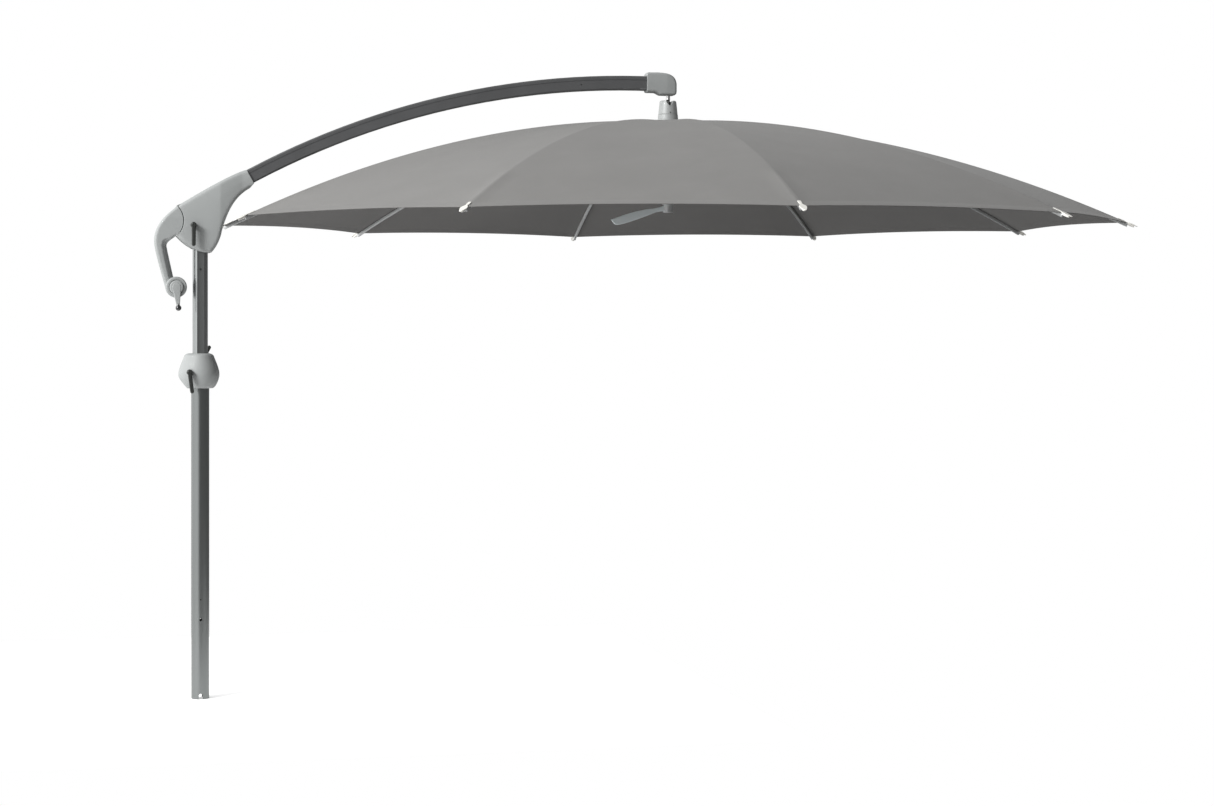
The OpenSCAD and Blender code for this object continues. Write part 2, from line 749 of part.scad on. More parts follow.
// The cloth: a sheet with flat runs between the ribs and a hole at the neck.
module canopy_cover() color("#8e8c88") at_hub() {
    n = rib_count;
    m = cloth_rings;
    points = [for (drop = [0, cloth_t], i = [0:m], k = [1:n])
        let (r = cloth_hole + (cloth_r - cloth_hole) * i / m)
        [r * cos(rib_angle(k)), r * sin(rib_angle(k)), cloth_z(r) - drop]];
    under = (m + 1) * n;
    skin = [for (i = [0:m - 1], k = [0:n - 1]) let (l = (k + 1) % n)
        [i * n + k, i * n + l, (i + 1) * n + l, (i + 1) * n + k]];
    lining = [for (f = skin) [for (j = [3:-1:0]) f[j] + under]];
    hem = [for (k = [0:n - 1]) let (l = (k + 1) % n)
        [m * n + k, m * n + l, under + m * n + l, under + m * n + k]];
    mouth = [for (k = [0:n - 1]) let (l = (k + 1) % n)
        [l, k, under + k, under + l]];
    polyhedron(points, concat(skin, lining, hem, mouth));
}

lower_mast();
mast_bush();
collar_front();
collar_rear();
clamp_ring();
swivel_lever();
height_lever();
upper_mast();
slide_foot();
mast_head();
pitch_pivot();
pitch_lever();
housing_front();
housing_rear();
housing_screws();
arm_beam();
arm_saddle();
winch_arm();
winch_cover();
winch_drum();
crank_lever();
crank_knob();
end_cap();
nose_pulley();
pulley_pin();
hanger_stud();
hinge_knuckle();
hinge_pins();
hoist_rope();
hub_cone();
hub_base();
cone_screws();
crown_ring();
rib_pins();
canopy_cover();
runner_hub();
strut_pins();
rope_tail();
paddle_handle();
handle_pin();
for (k = [1:rib_count]) {
    rib(k);
    strut(k);
}
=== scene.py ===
import json
import math

import bmesh
import bpy
import numpy as np
from mathutils import Matrix, Vector
from mathutils.geometry import delaunay_2d_cdt

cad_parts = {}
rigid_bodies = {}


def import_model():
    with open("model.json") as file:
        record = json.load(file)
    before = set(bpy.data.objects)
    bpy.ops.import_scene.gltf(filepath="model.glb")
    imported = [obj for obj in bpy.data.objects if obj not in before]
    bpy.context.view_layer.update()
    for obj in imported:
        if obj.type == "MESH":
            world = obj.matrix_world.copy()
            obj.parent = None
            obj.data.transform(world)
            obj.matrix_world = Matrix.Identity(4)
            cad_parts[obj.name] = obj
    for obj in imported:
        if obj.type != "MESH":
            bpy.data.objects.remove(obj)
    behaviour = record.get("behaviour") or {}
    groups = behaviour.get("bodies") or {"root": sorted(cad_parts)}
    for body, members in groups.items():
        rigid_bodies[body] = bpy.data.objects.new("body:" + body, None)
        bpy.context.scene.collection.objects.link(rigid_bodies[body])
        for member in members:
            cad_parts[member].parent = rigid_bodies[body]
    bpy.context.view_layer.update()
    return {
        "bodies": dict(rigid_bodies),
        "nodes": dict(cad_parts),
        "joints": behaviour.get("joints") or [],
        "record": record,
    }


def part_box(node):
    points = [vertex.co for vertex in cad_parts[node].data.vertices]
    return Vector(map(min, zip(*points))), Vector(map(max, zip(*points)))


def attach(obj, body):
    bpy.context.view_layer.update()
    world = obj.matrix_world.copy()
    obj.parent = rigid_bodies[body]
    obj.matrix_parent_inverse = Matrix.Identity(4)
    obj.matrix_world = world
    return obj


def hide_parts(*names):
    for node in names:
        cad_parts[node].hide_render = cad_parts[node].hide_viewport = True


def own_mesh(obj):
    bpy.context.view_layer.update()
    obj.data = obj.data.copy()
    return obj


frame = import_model()
nodes = frame["nodes"]
scene = bpy.context.scene

MM = 0.001
joints = {j["name"]: j for j in frame["joints"]}


def joint_at(name):
    """A joint's place in millimetres."""
    return np.array(joints[name]["pos_m"]) / MM


# ---- places and sizes, in millimetres, from the frame ----

hub = joint_at("canopy_tilt")
hub_x, hinge_z = hub[0], hub[2]
pitch = joint_at("arm_pitch")[[0, 2]]
winch = joint_at("crank_turn")[[0, 2]]
pulley = joint_at("pulley_turn")[[0, 2]]
eye_r = joint_at("canopy_fold")[0] - hub_x
eye_r /= math.cos(math.radians(18))
rib_eye_z = joint_at("canopy_fold")[2]
rib_count = sum(name.startswith("rib_arm_") for name in frame["bodies"])
half_panel = math.pi / rib_count
apex_z = 2121
canopy_r = 1750
canopy_rise = 405
hem_r = 1712
cloth_hole = 26
rib_drop = 4
rib_size = 14
arm_radius = 3000
arm_centre = np.array([1620, 2263.5 - arm_radius])


def cloth_z(r):
    """Height of the cloth above a rib, at a distance r from the canopy's axis."""
    return apex_z - canopy_rise * (r / canopy_r) ** 2


def rib_angle(k):
    return 2 * half_panel * (k - 0.5)


# ---- small mesh tools ----

def curve(a, b, c, d, n=12):
    """Points of a cubic curve without its first one, so that curves join."""
    a, b, c, d = (np.array(p, float) for p in (a, b, c, d))
    return [(1 - t) ** 3 * a + 3 * (1 - t) ** 2 * t * b + 3 * (1 - t) * t * t * c + t ** 3 * d
            for t in np.linspace(0, 1, n + 1)[1:]]


def arc(c, r, a0, a1, n=16):
    return [np.array(c) + r * np.array([math.cos(a), math.sin(a)])
            for a in np.radians(np.linspace(a0, a1, n + 1))]


def new_piece(name, verts, faces, material, body, sharp=35.0):
    """A mesh in millimetres becomes a piece in metres that rides on a body."""
    mesh = bpy.data.meshes.new(name)
    mesh.from_pydata([tuple(float(x) * MM for x in v) for v in verts], [], faces)
    return finish_mesh(name, mesh, material, body, sharp)


def finish_mesh(name, mesh, material, body, sharp=35.0):
    tidy_mesh(mesh, sharp)
    piece = bpy.data.objects.new(name, mesh)
    scene.collection.objects.link(piece)
    mesh.materials.clear()
    mesh.materials.append(material)
    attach(piece, body)
    return piece


def tidy_mesh(mesh, sharp):
    bm = bmesh.new()
    bm.from_mesh(mesh)
    bmesh.ops.remove_doubles(bm, verts=bm.verts, dist=1e-6)
    bmesh.ops.recalc_face_normals(bm, faces=bm.faces)
    bm.to_mesh(mesh)
    bm.free()
    mesh.polygons.foreach_set("use_smooth", [True] * len(mesh.polygons))
    mesh.set_sharp_from_angle(angle=math.radians(sharp))


def raw_mesh(verts, faces):
    mesh = bpy.data.meshes.new("raw")
    mesh.from_pydata([tuple(float(x) * MM for x in v) for v in verts], [], faces)
    tidy_mesh(mesh, 35)
    return mesh


def boolean(mesh, cutters, operation="DIFFERENCE"):
    """The mesh with each cutter's mesh taken away or added."""
    base = bpy.data.objects.new("base", mesh)
    scene.collection.objects.link(base)
    tools = []
    for cutter in cutters:
        tool = bpy.data.objects.new("tool", cutter)
        scene.collection.objects.link(tool)
        step = base.modifiers.new("cut", "BOOLEAN")
        step.operation = operation
        step.solver = "MANIFOLD"
        step.object = tool
        tools.append(tool)
    graph = bpy.context.evaluated_depsgraph_get()
    made = bpy.data.meshes.new_from_object(base.evaluated_get(graph))
    for o in [base, *tools]:
        bpy.data.objects.remove(o)
    return made


def prism(outline, y0, y1):
    """An outline in x and z, extruded from y0 to y1."""
    n = len(outline)
    verts = [(p[0], y, p[1]) for y in (y0, y1) for p in outline]
    faces = [list(range(n)), list(range(2 * n - 1, n - 1, -1))]
    faces += [[i, (i + 1) % n, n + (i + 1) % n, n + i] for i in range(n)]
    return raw_mesh(verts, faces)


def lathe(profile, steps=96):
    """Verts and faces of a profile of (radius, height), turned round the Z axis. A point on
    the axis closes the surface."""
    verts, rings = [], []
    for r, z in profile:
        if r < 1e-6:
            rings.append([len(verts)])
            verts.append((0, 0, z))
        else:
            rings.append(list(range(len(verts), len(verts) + steps)))
            turns = [2 * math.pi * i / steps for i in range(steps)]
            verts += [(r * math.cos(a), r * math.sin(a), z) for a in turns]
    faces = []
    pairs = list(zip(rings, rings[1:]))
    if len(rings[0]) > 1 and len(rings[-1]) > 1:
        pairs.append((rings[-1], rings[0]))
    for a, b in pairs:
        for i in range(steps):
            j = (i + 1) % steps
            quad = [a[i % len(a)], a[j % len(a)], b[j % len(b)], b[i % len(b)]]
            face = list(dict.fromkeys(quad))
            if len(face) > 2:
                faces.append(face)
    return verts, faces


def rounded_profile(corners, radius, steps=5):
    """A polyline of (radius, height) with each inner corner rounded. A corner may carry its own
    radius as a third number."""
    out = [tuple(corners[0][:2])]
    for a, b, c in zip(corners, corners[1:], corners[2:]):
        r = b[2] if len(b) > 2 else radius
        pa, pb, pc = (np.array(p[:2], float) for p in (a, b, c))
        reach = min(r, np.linalg.norm(pa - pb) * 0.48, np.linalg.norm(pc - pb) * 0.48)
        start = pb + (pa - pb) / np.linalg.norm(pa - pb) * reach
        end = pb + (pc - pb) / np.linalg.norm(pc - pb) * reach
        for t in np.linspace(0, 1, steps + 1):
            out.append(tuple((1 - t) ** 2 * start + 2 * (1 - t) * t * pb + t * t * end))
    out.append(tuple(corners[-1][:2]))
    return out


def moved(verts, place):
    return [tuple(np.array(v) + place) for v in verts]


def at_hub(verts):
    return moved(verts, (hub_x, 0, 0))


def hub_lathe(profile, steps=96):
    """A mesh turned about the hub's own axis."""
    verts, faces = lathe(profile, steps)
    return raw_mesh(at_hub(verts), faces)


def turned_to_y(verts, p, y=0.0):
    """A lathe's verts with its axis along -Y through the point p of the arm's plane."""
    return [(p[0] + v[0], y - v[2], p[1] + v[1]) for v in verts]


def rounded_box(w, h, r, n=5):
    """The outline of a w by h rectangle with rounded corners, about its middle."""
    out = []
    for cx, cy, a in ((1, 1, 0), (-1, 1, 90), (-1, -1, 180), (1, -1, 270)):
        out += arc((cx * (w / 2 - r), cy * (h / 2 - r)), r, a, a + 90, n)
    return out


# ---- moulded shells: an outline in the arm's plane, with filleted edges ----

def resample(outline, step):
    """Even points along a closed outline, with its corners kept."""
    out = []
    n = len(outline)
    for i in range(n):
        a, b = np.array(outline[i], float), np.array(outline[(i + 1) % n], float)
        length = np.linalg.norm(b - a)
        if length < 1e-6:
            continue
        count = max(1, int(round(length / step)))
        out += [a + (b - a) * t for t in np.arange(count) / count]
    return np.array(out)


def distance(points, line):
    """Distance of each point from a closed line of points."""
    a = np.asarray(line, float)
    d = np.roll(a, -1, axis=0) - a
    best = np.full(len(points), 1e9)
    for start, along in zip(a, d):
        size = along @ along
        if size < 1e-12:
            continue
        t = np.clip(((points - start) @ along) / size, 0, 1)
        gap = points - (start + t[:, None] * along)
        best = np.minimum(best, np.hypot(gap[:, 0], gap[:, 1]))
    return best


def inside(points, line):
    """Whether each point lies inside a closed line."""
    x, z = points[:, 0], points[:, 1]
    hit = np.zeros(len(points), bool)
    n = len(line)
    for i in range(n):
        (x0, z0), (x1, z1) = line[i], line[(i + 1) % n]
        if z0 == z1:
            continue
        cross = (z0 > z) != (z1 > z)
        hit ^= cross & (x < (x1 - x0) * (z - z0) / (z1 - z0) + x0)
    return hit


def fillet_drop(d, r):
    """How far a surface falls away, a distance d from an edge with a fillet of radius r."""
    if r <= 0:
        return np.zeros_like(d)
    s = 1 - np.clip(d / r, 0, 1)
    return r * (1 - np.sqrt(np.clip(1 - s * s, 0, 1)))


def net(outline, offsets, step):
    """Points and triangles that fill an outline, with rings of points near its edge."""
    edge = resample(outline, step * 0.7)
    area = np.sum(edge[:, 0] * np.roll(edge[:, 1], -1) - np.roll(edge[:, 0], -1) * edge[:, 1])
    if area < 0:
        edge = edge[::-1]
    along = np.roll(edge, -1, axis=0) - np.roll(edge, 1, axis=0)
    normal = np.stack([-along[:, 1], along[:, 0]], axis=1)
    normal /= np.linalg.norm(normal, axis=1)[:, None]
    points = [edge]
    for offset in offsets:
        ring = edge + normal * offset
        keep = inside(ring, edge) & (distance(ring, edge) > offset * 0.985)
        points.append(ring[keep])
    low, high = edge.min(0), edge.max(0)
    rows = np.arange(low[1], high[1], step * 0.87)
    grid = np.array([(x + (step / 2 if i % 2 else 0), z) for i, z in enumerate(rows)
                     for x in np.arange(low[0], high[0], step)])
    far = inside(grid, edge) & (distance(grid, edge) > offsets[-1] + step * 0.6)
    points.append(grid[far])
    flat = np.vstack(points)
    n = len(edge)
    border = [(i, (i + 1) % n) for i in range(n)]
    verts, _, faces, _, _, _ = delaunay_2d_cdt(
        [Vector((float(p[0]), float(p[1]))) for p in flat], border, [], 1, 1e-4)
    verts = np.array([tuple(v) for v in verts])
    return verts, [list(f) for f in faces], edge


def shell(outline, half_width, edge_r, whole=None, seam_r=0.8, split=None, step=5.0, crown=0.0):
    """Verts and faces of a moulding: outline in x and z, half_width(points) to each side, with
    fillets of edge_r along the whole body's outline and seam_r along its own. split is -1 or 1
    for the front or the rear half only."""
    whole = outline if whole is None else whole
    steps = sorted({round(r * (1 - math.cos(a)), 3) for r in (seam_r, edge_r)
                    for a in np.radians((22, 42, 60, 76, 90))} - {0.0})
    flat, faces, edge = net(outline, steps, step)
    own, body = distance(flat, edge), distance(flat, resample(whole, 3))
    drop = np.maximum(fillet_drop(body, edge_r), fillet_drop(own, seam_r))
    width = half_width(flat) - drop - crown * (1 - np.clip(body / 60, 0, 1)) ** 2
    n = len(flat)
    y_front = -width if split != 1 else np.full(n, 0.12)
    y_rear = width if split != -1 else np.full(n, -0.12)
    verts = [(p[0], y, p[1]) for ys in (y_front, y_rear) for p, y in zip(flat, ys)]
    out = [list(f) for f in faces] + [[n + i for i in reversed(f)] for f in faces]
    rim = {}
    for f in faces:
        for a, b in zip(f, f[1:] + f[:1]):
            rim[(a, b)] = None
    for a, b in [e for e in rim if (e[1], e[0]) not in rim]:
        out.append([a, n + a, n + b, b])
    return verts, out


def width_of(*pairs):
    """Half the width of a moulding, from (x, half width) pairs."""
    xs, ws = zip(*pairs)
    return lambda p: np.interp(p[:, 0], xs, ws)


# ---- materials ----

def links(material):
    tree = material.node_tree
    shader = tree.nodes["Principled BSDF"]
    return tree, shader


def add(tree, kind, **values):
    node = tree.nodes.new(kind)
    for key, value in values.items():
        if key in node.inputs:
            node.inputs[key].default_value = value
        else:
            setattr(node, key, value)
    return node


def mixed(tree, factor, a, b):
    """A colour between a and b by a factor socket."""
    node = tree.nodes.new("ShaderNodeMix")
    node.data_type = "RGBA"
    tree.links.new(factor, node.inputs[0])
    for socket, value in ((node.inputs[6], a), (node.inputs[7], b)):
        if hasattr(value, "is_output"):
            tree.links.new(value, socket)
        else:
            socket.default_value = (*value, 1)
    return node.outputs[2]


def ramp(tree, socket, low, high, to_low, to_high):
    node = add(tree, "ShaderNodeMapRange")
    for i, value in enumerate((low, high, to_low, to_high), start=1):
        node.inputs[i].default_value = value
    tree.links.new(socket, node.inputs[0])
    return node.outputs[0]


def coating(name, colour, rough, metal=0.0, grain=900.0, grain_depth=0.12, tone=0.05,
            stretch=(1, 1, 1), coat=0.0, edge_highlight=0.0):
    """A surface with a fine grain in its bump, slow changes of tone and roughness, and paler
    edges where the last argument is above 0: a painted highlight along them."""
    material = bpy.data.materials.new(name)
    material.use_nodes = True
    tree, shader = links(material)
    where = add(tree, "ShaderNodeTexCoord")
    scaled = add(tree, "ShaderNodeMapping")
    scaled.inputs["Scale"].default_value = stretch
    tree.links.new(where.outputs["Object"], scaled.inputs["Vector"])
    slow = add(tree, "ShaderNodeTexNoise", Scale=9.0, Detail=4.0, Roughness=0.6)
    fine = add(tree, "ShaderNodeTexNoise", Scale=grain, Detail=3.0, Roughness=0.55)
    for texture in (slow, fine):
        tree.links.new(scaled.outputs["Vector"], texture.inputs["Vector"])
    dark = [c * (1 - tone) for c in colour]
    pale = [min(1.0, c * (1 + tone)) for c in colour]
    shade = mixed(tree, ramp(tree, slow.outputs["Fac"], 0.3, 0.7, 0, 1), dark, pale)
    speck = ramp(tree, fine.outputs["Fac"], 0.35, 0.65, 0.0, 0.3 * tone / 0.05)
    shade = mixed(tree, speck, shade, [min(1.0, c * 1.12) for c in colour])
    if edge_highlight:
        # edges paled where the surface is pointed: a painted highlight
        geometry = add(tree, "ShaderNodeNewGeometry")
        edge = ramp(tree, geometry.outputs["Pointiness"], 0.52, 0.6, 0, edge_highlight)
        shade = mixed(tree, edge, shade, [min(1.0, c * 1.5 + 0.05) for c in colour])
    tree.links.new(shade, shader.inputs["Base Color"])
    rough_map = ramp(tree, slow.outputs["Fac"], 0.3, 0.7, rough - 0.05, rough + 0.06)
    tree.links.new(rough_map, shader.inputs["Roughness"])
    bump = add(tree, "ShaderNodeBump", Strength=grain_depth, Distance=0.0004)
    tree.links.new(fine.outputs["Fac"], bump.inputs["Height"])
    tree.links.new(bump.outputs["Normal"], shader.inputs["Normal"])
    shader.inputs["Metallic"].default_value = metal
    shader.inputs["Coat Weight"].default_value = coat
    return material


def drawn_metal(name, colour, rough, axis, tone=0.06):
    """Extruded aluminium: the die's fine lines run along one axis."""
    stretch = [1.0, 1.0, 1.0]
    stretch["XYZ".index(axis)] = 0.01
    return coating(name, colour, rough, metal=1.0, grain=700, grain_depth=0.10, tone=tone,
                   stretch=stretch)


def woven(name, colour, thread=0.0009):
    """Solution-dyed cloth: a plain weave on the piece's own UV, which is in metres."""
    material = bpy.data.materials.new(name)
    material.use_nodes = True
    tree, shader = links(material)
    where = add(tree, "ShaderNodeTexCoord")
    waves = []
    for direction in ("X", "Y"):
        wave = add(tree, "ShaderNodeTexWave", wave_type="BANDS", bands_direction=direction,
                   wave_profile="SIN", Distortion=0.6, Detail=1.0)
        wave.inputs["Scale"].default_value = 1 / thread / (2 * math.pi)
        wave.inputs["Detail Scale"].default_value = 0.4
        tree.links.new(where.outputs["UV"], wave.inputs["Vector"])
        waves.append(wave)
    cross = add(tree, "ShaderNodeMath", operation="MULTIPLY")
    for i, wave in enumerate(waves):
        tree.links.new(wave.outputs["Fac"], cross.inputs[i])
    cloud = add(tree, "ShaderNodeTexNoise", Scale=5.0, Detail=5.0, Roughness=0.62)
    slub = add(tree, "ShaderNodeTexNoise", Scale=420.0, Detail=2.0)
    tree.links.new(where.outputs["Object"], cloud.inputs["Vector"])
    tree.links.new(where.outputs["UV"], slub.inputs["Vector"])
    dark = [c * 0.93 for c in colour]
    pale = [c * 1.06 for c in colour]
    shade = mixed(tree, ramp(tree, cloud.outputs["Fac"], 0.3, 0.7, 0, 1), dark, pale)
    shade = mixed(tree, ramp(tree, slub.outputs["Fac"], 0.35, 0.7, 0, 0.45), shade,
                  [c * 1.18 for c in colour])
    # darker where the two thread waves are low: painted shade in the gaps of the weave
    shade = mixed(tree, ramp(tree, cross.outputs[0], 0.0, 0.5, 0.35, 0.0), shade,
                  [c * 0.55 for c in colour])
    tree.links.new(shade, shader.inputs["Base Color"])
    shader.inputs["Roughness"].default_value = 0.85
    shader.inputs["Sheen Weight"].default_value = 0.12
    shader.inputs["Sheen Roughness"].default_value = 0.5
    ease = add(tree, "ShaderNodeTexNoise", Scale=7.0, Detail=3.0, Roughness=0.5)
    tree.links.new(where.outputs["Object"], ease.inputs["Vector"])
    soft = add(tree, "ShaderNodeBump", Strength=0.10, Distance=0.004)
    tree.links.new(ease.outputs["Fac"], soft.inputs["Height"])
    weave = add(tree, "ShaderNodeBump", Strength=0.35, Distance=0.0003)
    tree.links.new(cross.outputs[0], weave.inputs["Height"])
    tree.links.new(soft.outputs["Normal"], weave.inputs["Normal"])
    tree.links.new(weave.outputs["Normal"], shader.inputs["Normal"])
    return material


cast_grey = coating("cast_grey", (0.318, 0.331, 0.328), 0.62, grain=1100, grain_depth=0.16,
                    tone=0.03, coat=0.04)
hub_silver = coating("hub_silver", (0.37, 0.382, 0.378), 0.5, metal=0.1, grain=1000, tone=0.03,
                     coat=0.05)
# black levers with a painted highlight along their edges
lever_black = coating("lever_black", (0.022, 0.024, 0.022), 0.4, grain=1500, grain_depth=0.2,
                      tone=0.1, edge_highlight=0.2)
knob_black = coating("knob_black", (0.016, 0.017, 0.018), 0.16, grain=400, grain_depth=0.03,
                     tone=0.1, coat=0.6)
nylon_black = coating("nylon_black", (0.03, 0.03, 0.032), 0.5, grain=1300, tone=0.1)
mast_lower = drawn_metal("mast_lower", (0.205, 0.215, 0.213), 0.27, "Z")
mast_upper = drawn_metal("mast_upper", (0.29, 0.302, 0.30), 0.30, "Z")
arm_grey = coating("arm_grey", (0.125, 0.127, 0.130), 0.36, metal=0.45, grain=900,
                   grain_depth=0.08, tone=0.06)
rib_metal = coating("rib_metal", (0.50, 0.51, 0.51), 0.42, metal=0.3, grain=700, grain_depth=0.1,
                    tone=0.05)
casting = coating("casting_raw", (0.34, 0.35, 0.35), 0.55, metal=0.8, grain=500,
                  grain_depth=0.5, tone=0.12)
steel = coating("steel", (0.56, 0.56, 0.56), 0.28, metal=1.0, grain=600, tone=0.05)
screw_black = coating("screw_black", (0.03, 0.03, 0.03), 0.35, metal=0.6, grain=900, tone=0.1)
cap_white = coating("cap_white", (0.78, 0.77, 0.73), 0.35, grain=900, grain_depth=0.08,
                    tone=0.02, coat=0.2)
paddle_grey = coating("paddle_grey", (0.66, 0.71, 0.72), 0.4, grain=1000, tone=0.03, coat=0.1)
cloth = woven("canopy_cloth", (0.190, 0.187, 0.181))
# a darker copy of the canopy cloth for faces that look down: painted shade on the underside, which
# is the same cloth
shaded_cloth = woven("canopy_cloth_painted_shade", (0.122, 0.119, 0.115))


def braid(name):
    """Braided cord: two sets of strands wound across each other."""
    material = bpy.data.materials.new(name)
    material.use_nodes = True
    tree, shader = links(material)
    where = add(tree, "ShaderNodeTexCoord")
    brick = add(tree, "ShaderNodeTexVoronoi", Scale=520.0)
    tree.links.new(where.outputs["Object"], brick.inputs["Vector"])
    # paler in each cell's middle, darker towards its edges: painted shade in the gaps between the
    # strands
    shade = mixed(tree, ramp(tree, brick.outputs["Distance"], 0.1, 0.6, 0, 1),
                  (0.72, 0.72, 0.69), (0.42, 0.42, 0.40))
    tree.links.new(shade, shader.inputs["Base Color"])
    shader.inputs["Roughness"].default_value = 0.8
    bump = add(tree, "ShaderNodeBump", Strength=0.6, Distance=0.0006)
    bump.invert = True
    tree.links.new(brick.outputs["Distance"], bump.inputs["Height"])
    tree.links.new(bump.outputs["Normal"], shader.inputs["Normal"])
    return material


rope_white = braid("rope_white")

finish_of_slot = {
    "mast_grey": mast_lower, "profile_grey": mast_upper, "nylon_black": nylon_black,
    "cast_grey": cast_grey, "casting_raw": casting, "lever_black": lever_black,
    "steel": steel, "screw_black": screw_black, "arm_dark": arm_grey,
    "rope_white": rope_white, "hub_silver": hub_silver, "frame_alu": rib_metal,
    "canopy_cloth": cloth, "handle_grey": paddle_grey,
}
for part in frame["record"]["subparts"]:
    mesh = nodes[part["node"]].data
    finish = finish_of_slot[part["material_slot"]]
    if not mesh.materials:
        mesh.materials.append(finish)
    for i in range(len(mesh.materials)):
        mesh.materials[i] = finish

# ---- camera, floor and light ----

CAMERA_AT = Vector((-0.543, -9.127, 1.411))
camera_data = bpy.data.cameras.new("camera")
camera = bpy.data.objects.new("camera", camera_data)
scene.collection.objects.link(camera)
camera.location = CAMERA_AT
camera.rotation_euler = Vector((0.2198, 0.9755, 0)).to_track_quat("-Z", "Y").to_euler()
camera_data.lens = 73.72
camera_data.sensor_width = 36
camera_data.shift_y = -0.0772
camera_data.clip_end = 200
scene.camera = camera

bpy.ops.mesh.primitive_plane_add(size=3, location=(0.4, 0.2, -0.0005))
floor = bpy.context.object
floor.name = "floor"
floor_paint = bpy.data.materials.new("floor_paint")
floor_paint.use_nodes = True
for key, value in (("Base Color", (0.9, 0.9, 0.9, 1)), ("Roughness", 0.9),
                   ("Emission Color", (1, 1, 1, 1)), ("Emission Strength", 0.5)):
    links(floor_paint)[1].inputs[key].default_value = value
floor.data.materials.append(floor_paint)

world = bpy.data.worlds.new("studio")
scene.world = world
world.use_nodes = True
sky = world.node_tree
seen = sky.nodes["Background"]
seen.inputs["Color"].default_value = (1, 1, 1, 1)
seen.inputs["Strength"].default_value = 1.0
# the studio is brighter on the left and above, and the camera sees plain white
direction = add(sky, "ShaderNodeTexCoord")
parts = add(sky, "ShaderNodeSeparateXYZ")
sky.links.new(direction.outputs["Generated"], parts.inputs[0])
lit = add(sky, "ShaderNodeBackground")
strength = add(sky, "ShaderNodeMath", operation="MULTIPLY")
sky.links.new(ramp(sky, parts.outputs["X"], -0.5, -0.24, 2.1, 0.34), strength.inputs[0])
sky.links.new(ramp(sky, parts.outputs["Z"], -0.3, 0.05, 0.62, 1), strength.inputs[1])
sky.links.new(strength.outputs[0], lit.inputs["Strength"])
path = add(sky, "ShaderNodeLightPath")
either = add(sky, "ShaderNodeMixShader")
sky.links.new(path.outputs["Is Camera Ray"], either.inputs[0])
sky.links.new(lit.outputs[0], either.inputs[1])
sky.links.new(seen.outputs[0], either.inputs[2])
sky.links.new(either.outputs[0], sky.nodes["World Output"].inputs["Surface"])


def softbox(name, place, aim, size, power):
    data = bpy.data.lights.new(name, "AREA")
    data.shape = "RECTANGLE"
    data.size, data.size_y = size
    data.energy = power
    lamp = bpy.data.objects.new(name, data)
    scene.collection.objects.link(lamp)
    lamp.location = place
    lamp.rotation_euler = (Vector(aim) - Vector(place)).to_track_quat("-Z", "Y").to_euler()
    return lamp


softbox("key", (-6.5, -4.5, 6.0), (0.6, 0, 1.6), (2.2, 2.2), 780)
scene.view_settings.view_transform = "Standard"

# ---- housing ----

seam = (-136, 1731)
seam_r = 76

seam_arc = arc(seam, seam_r, -46.5, 46.5, 24)
housing_top = curve((-81, 1786), (-6, 1833), (120, 1908), (165, 1918), 24)
housing_belly = (curve((187, 1857), (125, 1825), (100, 1775), (77, 1700), 20)
                 + curve((77, 1700), (72, 1670), (60, 1640), (38, 1616), 12)
                 + curve((38, 1616), (0, 1612), (-50, 1632), (-87, 1676), 16))
winch_back = (curve((-81, 1786), (-125, 1752), (-165, 1715), (-164, 1656), 18)
              + curve((-164, 1656), (-163, 1620), (-135, 1530), winch + (-36, -8), 18))
winch_foot = arc(winch, 37, 195, 380, 28)
winch_neck = curve((-52, 1505), (-75, 1520), (-96, 1520), (-98, 1534), 8)
winch_inner = curve((-98, 1534), (-106, 1570), (-119, 1625), (-121, 1640), 10)
winch_chin = curve((-121, 1640), (-122, 1655), (-103, 1664), (-88, 1676), 10)

housing_outline = housing_top + [np.array((192, 1869))] + housing_belly + seam_arc
winch_side = winch_foot + winch_neck + winch_inner + winch_chin
winch_outline = winch_back + winch_side + arc(seam, seam_r - 2.3, -46, 46, 24)
# the housing and the winch arm together, without the seam between them
casing_outline = (housing_top + [np.array((192, 1869))] + housing_belly + winch_side[::-1]
                  + winch_back[::-1])

housing_whole = (housing_top[:-1] + [np.array((230, 1935)), np.array((262, 1885))] + housing_belly
                 + winch_side[::-1] + winch_back[::-1])


def inset(outline, by):
    """The outline moved inwards, with what would cross left out."""
    edge = resample(outline, 3)
    if np.sum(edge[:, 0] * np.roll(edge[:, 1], -1) - np.roll(edge[:, 0], -1) * edge[:, 1]) < 0:
        edge = edge[::-1]
    along = np.roll(edge, -1, axis=0) - np.roll(edge, 1, axis=0)
    normal = np.stack([-along[:, 1], along[:, 0]], axis=1)
    ring = edge + normal / np.linalg.norm(normal, axis=1)[:, None] * by
    return ring[inside(ring, edge) & (distance(ring, edge) > by * 0.98)]


def arm_bar(w, h, x0, x1, corner=6, steps=48):
    """A bar of the arm's curve between two distances along X, as a mesh."""
    section = rounded_box(h, w, corner)
    a0, a1 = (math.acos((x - arm_centre[0]) / arm_radius) for x in (x0, x1))
    verts = []
    for a in np.linspace(a0, a1, steps + 1):
        for up, y in section:
            r = arm_radius + up
            verts.append((arm_centre[0] + r * math.cos(a), y, arm_centre[1] + r * math.sin(a)))
    n = len(section)
    faces = [[i * n + j, (i + 1) * n + j, (i + 1) * n + (j + 1) % n, i * n + (j + 1) % n]
             for i in range(steps) for j in range(n)]
    faces += [list(range(n)), list(range(steps * n + n - 1, steps * n - 1, -1))]
    return raw_mesh(verts, faces)


def rod_y(p, r, y0, y1, steps=40):
    return prism(arc(p, r, 0, 360 - 360 / steps, steps - 1), y0, y1)


def shell_mesh(*args, **options):
    return raw_mesh(*shell(*args, **options))


WALL = 3.0
housing_width = width_of((-200, 45), (70, 45), (150, 33), (230, 31))
mast_room = prism([(-36, 1590), (52, 1590), (50, 1630), (44, 1665), (-32, 1665)], -28.9, 28.9)


def rope_passage():
    """The round way between the housing and the winch arm, through both walls at the seam."""
    return prism(arc((-64, 1737), 22, 0, 350, 35), -20, 20)


